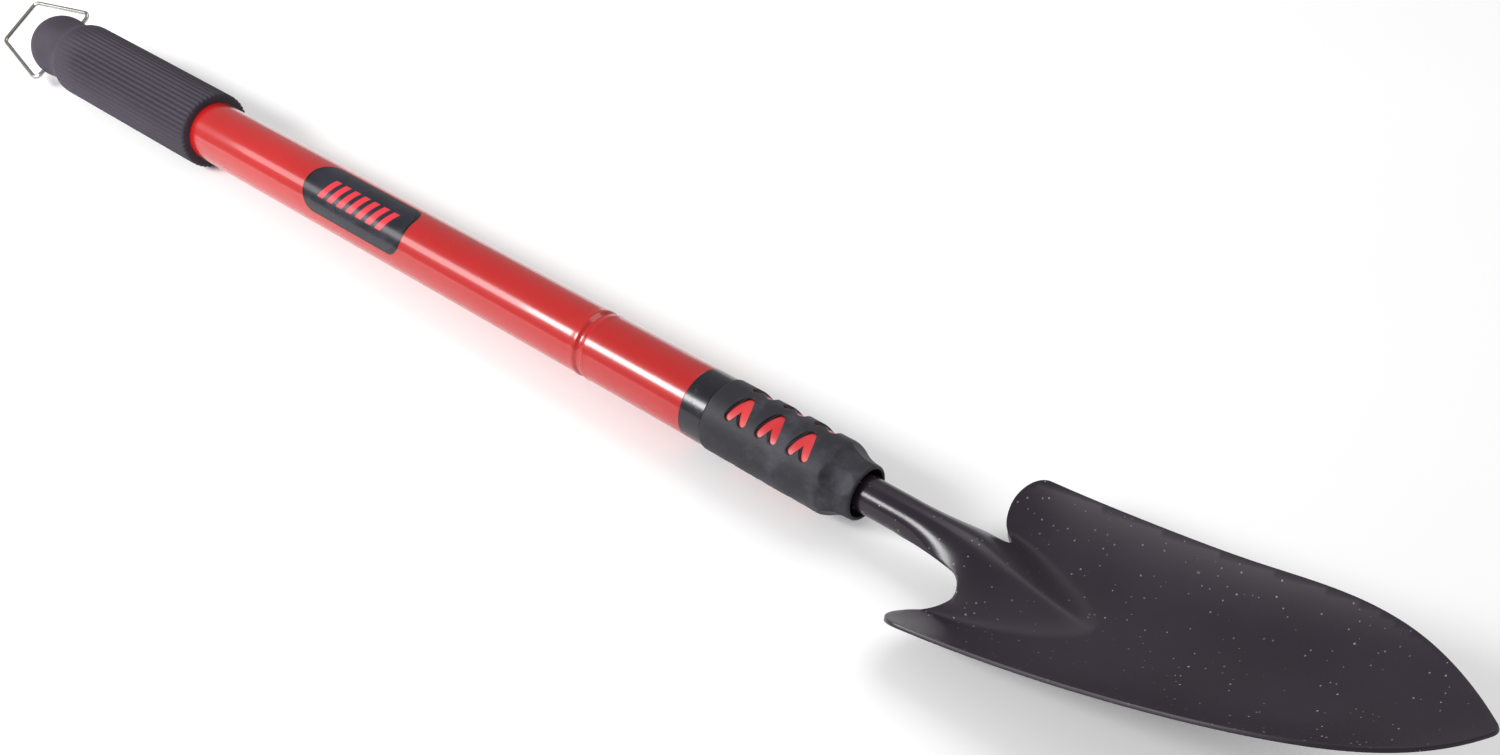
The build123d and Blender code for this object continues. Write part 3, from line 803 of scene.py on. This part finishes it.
# --- bail -------------------------------------------------------------------------------------
def rounded_path(corners, bend, steps=7):
    """The corners as a run of points, each inner corner bent to one radius."""
    corners = [Vector(corner) for corner in corners]
    path = [corners[0]]
    for before, corner, after in zip(corners, corners[1:], corners[2:]):
        back = (before - corner).normalized()
        ahead = (after - corner).normalized()
        half_angle = back.angle(ahead) / 2
        setback = bend / np.tan(half_angle)
        centre = corner + (back + ahead).normalized() * bend / sin(half_angle)
        start = (corner + back * setback - centre).normalized()
        end = (corner + ahead * setback - centre).normalized()
        for i in range(steps + 1):
            path.append(centre + start.slerp(end, i / steps) * bend)
    return path + [corners[-1]]


def make_bail():
    """One bent wire loop whose ends turn inwards into the bulb."""
    pivot = BAIL_PIVOT_WIDTH / 2
    end = BAIL_END_WIDTH / 2
    flat = [
        (0, BAIL_END_DEPTH, 0),
        (0, pivot, 0),
        (-BAIL_LENGTH, end, 0),
        (-BAIL_LENGTH, -end, 0),
        (0, -pivot, 0),
        (0, -BAIL_END_DEPTH, 0),
    ]
    line = bpy.data.curves.new("bail_line", "CURVE")
    line.dimensions = "3D"
    line.bevel_depth = BAIL_WIRE / 2 * MM
    line.bevel_resolution = 6
    line.use_fill_caps = True
    run = line.splines.new("POLY")
    path = rounded_path(flat, BAIL_BEND)
    run.points.add(len(path) - 1)
    for point, corner in zip(run.points, path):
        station = BAIL_STATION + corner.x * cos(BAIL_LIFT)
        rise = row_point(0, -corner.x * sin(BAIL_LIFT), BAIL_ROLL + pi / 2) - row_point(0, 0, 0)
        point.co = (*(row_point(station, corner.y, BAIL_ROLL) + rise), 1.0)
    guide = bpy.data.objects.new("bail_line", line)
    bpy.context.scene.collection.objects.link(guide)
    depsgraph = bpy.context.evaluated_depsgraph_get()
    mesh = bpy.data.meshes.new_from_object(guide.evaluated_get(depsgraph))
    bpy.data.objects.remove(guide)
    mesh.materials.clear()
    mesh.materials.append(finishes["bright_wire"])
    bail = bpy.data.objects.new("wire_bail", mesh)
    bpy.context.scene.collection.objects.link(bail)
    settle_modifiers(bail, sharp_angle=60.0)
    install(bail, "bright_wire", "bail", "bail")


# --- label ------------------------------------------------------------------------------------
def label_half_width(share):
    """The label's half-width from its rear end to its front end, as a share of the widest."""
    widest = TUBE_RADIUS * sin(LABEL_HALF_ANGLE)
    rear_round = LABEL_REAR_ROUND * widest
    from_rear = share * LABEL_LENGTH
    from_front = (1 - share) * LABEL_LENGTH
    half = 1.0
    if from_rear < rear_round:
        half = sqrt(max(0.0, 1 - (1 - from_rear / rear_round) ** 2))
    if from_front < LABEL_FRONT_ROUND:
        gone = 1 - sqrt(max(0.0, 1 - (1 - from_front / LABEL_FRONT_ROUND) ** 2))
        half = 1 - gone * LABEL_FRONT_ROUND / widest
    return half


def make_label():
    """A film bent round the tube, round at its rear end and squarer at its front end."""
    columns = 140
    across = 25
    points = []
    for i in range(columns + 1):
        share = 0.5 - 0.5 * cos(pi * i / columns)
        station = LABEL_REAR + LABEL_LENGTH * share
        half = max(0.01, label_half_width(share)) * LABEL_HALF_ANGLE
        for j in range(across):
            angle = LABEL_MIDDLE + half * (2 * j / (across - 1) - 1)
            points.append(row_point(station, TUBE_RADIUS + LABEL_LIFT, angle))
    faces = []
    for i in range(columns):
        for j in range(across - 1):
            corner = i * across + j
            faces.append((corner, corner + across, corner + across + 1, corner + 1))
    label = make_piece("wrapped_label", points, faces, "label_film")
    shell = label.modifiers.new("thickness", "SOLIDIFY")
    shell.thickness = LABEL_THICKNESS * MM
    shell.offset = 1.0
    settle_modifiers(label, sharp_angle=50.0)
    install(label, "label_film", "handle", "label")


# --- twist sleeve -----------------------------------------------------------------------------
def flat_distance(station, angle):
    """The radius of the hollowed flats at a place on the cover's front."""
    left = max(0.0, (LIP_REAR - station) / (LIP_REAR - FACET_REAR))
    reach = FACET_FRONT_RADIUS + (FACET_REAR_RADIUS - FACET_FRONT_RADIUS) * left**2
    step = 2 * pi / FACET_COUNT
    turn = (angle + step / 2) % step - step / 2
    return reach / cos(turn)


def softly_least(first, second, blend):
    """The smaller of two lengths, with the crossing rounded."""
    return (first + second - sqrt((first - second) ** 2 + blend**2)) / 2


def faceted(station, radius):
    """A row of the cover's outside, cut by the flats."""

    def reach(angle):
        return softly_least(radius, flat_distance(station, angle), FACET_BLEND)

    return reach


def window_levels():
    """A window's levels, as (radius, growth of the slot): straight walls and a rounded edge."""
    levels = [(radius, 0.0) for radius in WINDOW_WALL]
    for i in range(7):
        angle = pi / 2 * i / 6
        grow = WINDOW_ROUND * (1 - cos(angle))
        levels.append((WINDOW_TOP - WINDOW_ROUND + WINDOW_ROUND * sin(angle), grow))
    return [*levels, (WINDOW_TOP + MOUTH_HEIGHT, WINDOW_ROUND + MOUTH_FLARE)]


def window_cutters(name, lean):
    """One leg of every chevron window: a slot with round ends that leans by an angle in degrees."""
    levels = window_levels()
    slant = radians(90 + lean)
    around = 40
    points = []
    faces = []
    for row in WINDOW_ROWS:
        for column in WINDOW_COLUMNS:
            base = len(points)
            for radius, grow in levels:
                half_width = WINDOW_WIDTH / 2 + grow
                for i in range(around):
                    turn = 2 * pi * i / around
                    end = 0 if cos(turn) >= 0 else WINDOW_WIDTH - WINDOW_LEG
                    run = end + half_width * cos(turn)
                    side = half_width * sin(turn)
                    along = run * cos(slant) - side * sin(slant)
                    across = run * sin(slant) + side * cos(slant) + WINDOW_POINT
                    angle = radians(row) - across / WINDOW_WRAP
                    points.append(row_point(column + along, radius, angle))
            for level in range(len(levels) - 1):
                lower = base + level * around
                upper = lower + around
                for i in range(around):
                    beside = (i + 1) % around
                    faces.append((lower + i, lower + beside, upper + beside, upper + i))
            faces.append(tuple(base + i for i in reversed(range(around))))
            top_row = base + (len(levels) - 1) * around
            faces.append(tuple(top_row + i for i in range(around)))
    return make_piece(name, points, faces, "sleeve_rubber")


def make_sleeve_cover():
    """Soft cover: chevron windows over the red nut, flats round the front and a thin lip."""
    rows = [(SLEEVE_REAR, SLEEVE_BORE)]
    rows += [(SLEEVE_REAR + ahead, radius) for ahead, radius in SLEEVE_REAR_EDGE]
    rows += [(station, faceted(station, radius)) for station, radius in spline(SLEEVE_OUTSIDE, count=120)]
    rows += arc_rows(SLEEVE_FRONT - LIP_ROUND, LIP_OPENING + LIP_EDGE, LIP_ROUND, first=78, last=0)
    rows += [(SLEEVE_FRONT - LIP_EDGE, LIP_OPENING), (SLEEVE_WIPER_FRONT, LIP_OPENING)]
    rows += [(SLEEVE_WIPER_FRONT, SLEEVE_WIPER_BORE), (SLEEVE_STEP, SLEEVE_WIPER_BORE)]
    rows += [(SLEEVE_STEP, SLEEVE_BORE)]
    cover = turned_piece("windowed_sleeve_cover", rows, around=216, slot="sleeve_rubber")
    face_outwards(cover)
    legs = []
    for lean in (-WINDOW_SPREAD / 2, WINDOW_SPREAD / 2):
        legs.append(window_cutters("window_legs", lean))
        face_outwards(legs[-1])
        cut = cover.modifiers.new("windows", "BOOLEAN")
        cut.operation = "DIFFERENCE"
        cut.solver = "MANIFOLD"
        cut.object = legs[-1]
    settle_modifiers(cover, sharp_angle=38.0)
    for leg in legs:
        bpy.data.objects.remove(leg)
    install(cover, "sleeve_rubber", "twist_sleeve", "sleeve_grip")


# --- blade ------------------------------------------------------------------------------------
def dish_radius(x):
    """The radius of the blade's hollow across its width, x ahead of the blade frame's start."""
    return DISH_RADIUS_REAR + (DISH_RADIUS_TIP - DISH_RADIUS_REAR) * x / BLADE_LENGTH


def sheet_height(x, y):
    """The blade's hollow face above its own frame, without the socket."""
    return x**2 / (2 * SPINE_RADIUS) + dish_radius(x) - np.sqrt(dish_radius(x) ** 2 - y**2)


def neck_axis_height(x):
    """The neck's axis above the blade's frame."""
    return (BLADE_DROP - x * sin(BLADE_PITCH)) / cos(BLADE_PITCH)


def crest_height(x):
    """The socket's ridge line over the sheet: along the neck's top, then down to a point."""
    neck_top = neck_axis_height(x) + NECK_RADIUS / cos(BLADE_PITCH) - sheet_height(x, 0)
    left = np.clip((SOCKET_LENGTH - x) / SOCKET_LENGTH, 0, None)
    ridge = SOCKET_RISE * left**RIDGE_POWER
    return (neck_top + ridge - np.sqrt((neck_top - ridge) ** 2 + SOCKET_BLEND**2)) / 2


def socket_half_width(x):
    """Half the pressed socket's width, widest at the blade frame's start."""
    ahead = np.clip(1 - (np.clip(x, 0, None) / SOCKET_REACH) ** SOCKET_POINT_POWER, 1e-4, 1)
    behind = 1 - (np.clip(-x, 0, None) / (2 * -NECK_MOUTH)) ** 2
    return SOCKET_HALF_WIDTH * ahead**SOCKET_SIDE_POWER * behind


def socket_height(x, y):
    """How far the pressed socket stands over the sheet."""
    half = socket_half_width(x)
    share = np.clip(np.sqrt(y**2 + CREST_ROUND**2) / half, 0, 1)
    peak = ARCH_PEAK - ARCH_PEAK_FALL * soft_step(x, *ARCH_PEAK_SPAN)
    arch = (1 - share**peak) ** ARCH_POWER
    inside = (x < SOCKET_LENGTH) * (abs(y) < half)
    return np.where(inside, np.clip(crest_height(x), 0, None) * arch, 0.0)


def soft_step(value, low, high):
    """0 below low and 1 above high, with a soft change between."""
    share = np.clip((value - low) / (high - low), 0, 1)
    return share**2 * (3 - 2 * share)


def blade_point(x, v):
    """The hollow face of neck and blade. v runs across the sheet as if it were unrolled.

    The strip between the notches is still partly rolled, but the ears beside it are not.
    """
    strip_opened = soft_step(x, *STRIP_OPENING)
    on_ear = (abs(v) > EAR_ROOT) & (x > STRIP_REAR)
    opened = np.where(on_ear, 1.0, strip_opened)
    turn = v / NECK_RADIUS
    rolled_y = NECK_RADIUS * np.sin(turn)
    rolled_z = neck_axis_height(x) + NECK_RADIUS * np.cos(turn) / cos(BLADE_PITCH)
    flat_z = sheet_height(x, v) + socket_height(x, v)
    y = (1 - opened) * rolled_y + opened * v
    z = (1 - opened) * rolled_z + opened * flat_z
    return x, y, z


def to_row(x, y, z):
    """Blade frame millimetres to the row frame in metres."""
    ahead = BLADE_STATION + x * cos(BLADE_PITCH) - z * sin(BLADE_PITCH)
    up = -BLADE_DROP + x * sin(BLADE_PITCH) + z * cos(BLADE_PITCH)
    return np.stack((TUBE_FRONT + ahead * MM, y * MM, AXIS_HEIGHT + up * MM), axis=-1)


def sideways(points, distance):
    """Points moved to the left of the way they run."""
    run = np.gradient(points, axis=0)
    run /= np.linalg.norm(run, axis=1)[:, None]
    return points + distance * np.stack((-run[:, 1], run[:, 0]), axis=1)


def join_rounded(before, after, radius, steps=16):
    """Two runs of points joined by an arc. A negative radius rounds an inside corner."""
    first = sideways(before, radius)
    second = sideways(after, radius)
    gaps = np.linalg.norm(first[:, None, :] - second[None, :, :], axis=2)
    i, j = np.unravel_index(np.argmin(gaps), gaps.shape)
    centre = (first[i] + second[j]) / 2
    start = before[i] - centre
    turn = np.arctan2(*(after[j] - centre)[::-1]) - np.arctan2(*start[::-1])
    turn = (turn + pi) % (2 * pi) - pi
    angles = turn * np.arange(1, steps) / steps
    bend = np.stack((np.cos(angles), -np.sin(angles), np.sin(angles), np.cos(angles)), axis=1)
    arc = centre + (bend.reshape(-1, 2, 2) @ start)
    return np.concatenate((before[: i + 1], arc, after[j:]))


def straight(start, end, step=0.25):
    """Evenly spread points on a straight line."""
    count = max(2, int(np.hypot(end[0] - start[0], end[1] - start[1]) / step) + 1)
    return np.linspace(start, end, count)


def blade_outline():
    """The unrolled sheet's edge: neck, notches, ears, long sides and tip, anticlockwise."""
    half_neck = pi * NECK_RADIUS - NECK_SEAM
    neck_start = NECK_REAR - BLADE_STATION
    neck = straight((neck_start, -half_neck), (SEAM_FRONT, -half_neck))
    flare = [(SEAM_FRONT, -half_neck), *((x, -across) for x, across in FLARE_SHAPE)]
    ear_rear = [(x, -across) for x, across in EAR_REAR_SHAPE]
    side = [(BLADE_LENGTH * share, -EAR_HALF_WIDTH * width) for share, width in SIDE_SHAPE]
    side = [(-EAR_SWEEP, -EAR_HALF_WIDTH), *side, (BLADE_LENGTH + TIP_REACH, 0)]
    flare = spline(flare, count=200, first_slope=(1, 0.2), last_slope=(1, 0))
    half = join_rounded(flare, spline(ear_rear, count=160), -NOTCH_ROUND)
    half = join_rounded(half, spline(side, count=700), EAR_ROUND)
    half = np.concatenate((neck[:-1], half))
    other_half = half[::-1] * (1, -1)
    return join_rounded(half, other_half, TIP_ROUND)


def thinned(points, step):
    """The points of a closed run, at least a step apart."""
    kept = [points[0]]
    for point in points[1:]:
        if np.linalg.norm(point - kept[-1]) >= step:
            kept.append(point)
    return np.array(kept)


def distance_to_edge(points, edge):
    """The distance of each point to a closed outline, negative outside it."""
    run = np.roll(edge, -1, axis=0) - edge
    nearest = np.full(len(points), 1e9)
    crossings = np.zeros(len(points), int)
    for (sx, sy), (rx, ry) in zip(edge, run):
        dx = points[:, 0] - sx
        dy = points[:, 1] - sy
        share = np.clip((dx * rx + dy * ry) / (rx * rx + ry * ry), 0, 1)
        nearest = np.minimum(nearest, np.hypot(dx - share * rx, dy - share * ry))
        crosses = (sy > points[:, 1]) != (sy + ry > points[:, 1])
        safe = ry if ry else 1.0
        crossings += crosses & (dx < rx * dy / safe)
    return np.where(crossings % 2 == 1, nearest, -nearest)


def fill_points(edge):
    """Even triangular grids inside the outline, finer over the neck and the socket."""
    found = []
    low, high = edge.min(axis=0), edge.max(axis=0)
    for step in (FINE_STEP, COARSE_STEP):
        rows = np.arange(low[1], high[1], step * GRID_ROW_SHARE)
        for k, v in enumerate(rows):
            x = np.arange(low[0] + (k % 2) * step / 2, high[0], step)
            found.append(np.stack((x, np.full_like(x, v), np.full_like(x, step)), axis=1))
    grid = np.concatenate(found)
    in_fine = (grid[:, 0] < FINE_FRONT) & (abs(grid[:, 1]) < FINE_HALF_WIDTH)
    grid = grid[np.where(grid[:, 2] == FINE_STEP, in_fine, ~in_fine)]
    clear = distance_to_edge(grid[:, :2], edge) > GRID_EDGE_SHARE * grid[:, 2]
    return grid[clear, :2]


def make_blade():
    """Neck and blade as one pressed and rolled sheet."""
    edge = thinned(blade_outline(), EDGE_STEP)
    inside = fill_points(edge)
    count = len(edge)
    flat = [Vector(point) for point in np.concatenate((edge, inside))]
    loop = [(i, (i + 1) % count) for i in range(count)]
    corners, _, faces, *_ = delaunay_2d_cdt(flat, loop, [], 1, 1e-6)
    corners = np.array([tuple(corner) for corner in corners])
    points = to_row(*blade_point(corners[:, 0], corners[:, 1]))
    blade = make_piece("pressed_blade", points, [tuple(face) for face in faces], "powder_coat")
    shell = blade.modifiers.new("thickness", "SOLIDIFY")
    shell.thickness = BLADE_THICKNESS * MM
    shell.offset = -1.0
    soften = blade.modifiers.new("edges", "BEVEL")
    soften.width = SHEET_EDGE_ROUND * MM
    soften.segments = 2
    soften.limit_method = "ANGLE"
    soften.angle_limit = radians(60)
    settle_modifiers(blade, sharp_angle=50.0)
    install(blade, "powder_coat", "head", "blade")


# --- CAD nodes --------------------------------------------------------------------------------
def dress_cad_nodes():
    """Gives every CAD node its slot's finish."""
    for part in frame["record"]["subparts"]:
        node = nodes[part["node"]]
        node.data.materials.clear()
        node.data.materials.append(finishes[part["material_slot"]])


# --- stage ------------------------------------------------------------------------------------
def make_floor():
    """A large sheet of pale paper under the tool."""
    half = FLOOR_SIZE / 2
    corners = [(-half, -half, 0), (half, -half, 0), (half, half, 0), (-half, half, 0)]
    paper = Finish("pale_paper", Specular_IOR_Level=0.2, Emission_Strength=0.1)
    tone = paper.smooth_step(paper.noise(scale=3.0, detail=2.0), 0.3, 0.7)
    paper.drive(
        Base_Color=paper.blend(tone, (0.90, 0.90, 0.90), (0.92, 0.92, 0.92)),
        Roughness=0.9,
        Emission_Color=(1.0, 1.0, 1.0, 1.0),
    )
    finishes["floor"] = paper.material
    floor = make_piece("floor", corners, [(0, 1, 2, 3)], "floor")


def make_softbox(name, place, target, width, length, power):
    """A rectangular lamp that faces its target."""
    light = bpy.data.lights.new(name, "AREA")
    light.shape = "RECTANGLE"
    light.size = width
    light.size_y = length
    light.energy = power
    lamp = bpy.data.objects.new(name, light)
    bpy.context.scene.collection.objects.link(lamp)
    lamp.location = place
    aim = Vector(target) - Vector(place)
    lamp.rotation_mode = "QUATERNION"
    lamp.rotation_quaternion = aim.to_track_quat("-Z", "Y")
    return lamp


def softbox_turn(angle):
    """The turn that faces a softbox to the tool's axis, with its long side along the tool."""
    back = Vector((0, cos(angle), sin(angle)))
    long_side = Vector((1, 0, 0))
    short_side = back.cross(long_side)
    turn = Matrix((short_side * -1, long_side, back)).transposed()
    return turn.to_quaternion()


def make_lights():
    """Two long softboxes beside the tool, a broad one overhead and a dim pale surround."""
    for name, reach, middle, width, length, power in LONG_SOFTBOXES:
        place = (middle, reach * cos(SOFTBOX_ANGLE), AXIS_HEIGHT + reach * sin(SOFTBOX_ANGLE))
        lamp = make_softbox(name, place, (middle, 0, AXIS_HEIGHT), width, length, power)
        lamp.rotation_quaternion = softbox_turn(SOFTBOX_ANGLE)
    make_softbox("overhead_softbox", OVERHEAD_PLACE, OVERHEAD_TARGET, *OVERHEAD_SIZE, OVERHEAD_POWER)
    world = bpy.data.worlds.new("pale_surround")
    world.use_nodes = True
    world.node_tree.nodes.clear()
    graph = Graph(world.node_tree)
    inputs = {"Color": (1.0, 1.0, 1.0, 1.0), "Strength": SURROUND_STRENGTH}
    surround = graph.add("ShaderNodeBackground", None, inputs)
    graph.finish_with("ShaderNodeOutputWorld", "Surface", surround)
    bpy.context.scene.world = world


def make_camera():
    """The camera, aimed at the tool and rolled a little."""
    lens = bpy.data.cameras.new("camera")
    lens.lens = CAMERA_LENS
    lens.sensor_width = SENSOR_WIDTH
    lens.clip_start = 0.01
    lens.clip_end = 50.0
    camera = bpy.data.objects.new("camera", lens)
    bpy.context.scene.collection.objects.link(camera)
    aim = Vector(CAMERA_TARGET) - Vector(CAMERA_PLACE)
    camera.location = CAMERA_PLACE
    camera.rotation_mode = "QUATERNION"
    roll = Quaternion((0, 0, 1), CAMERA_ROLL)
    camera.rotation_quaternion = aim.to_track_quat("-Z", "Y") @ roll
    bpy.context.scene.camera = camera


dress_cad_nodes()
make_outer_tube()
make_grip()
make_bail()
make_label()
make_sleeve_cover()
make_blade()
make_floor()
make_lights()
make_camera()
bpy.context.scene.view_settings.view_transform = "Standard"
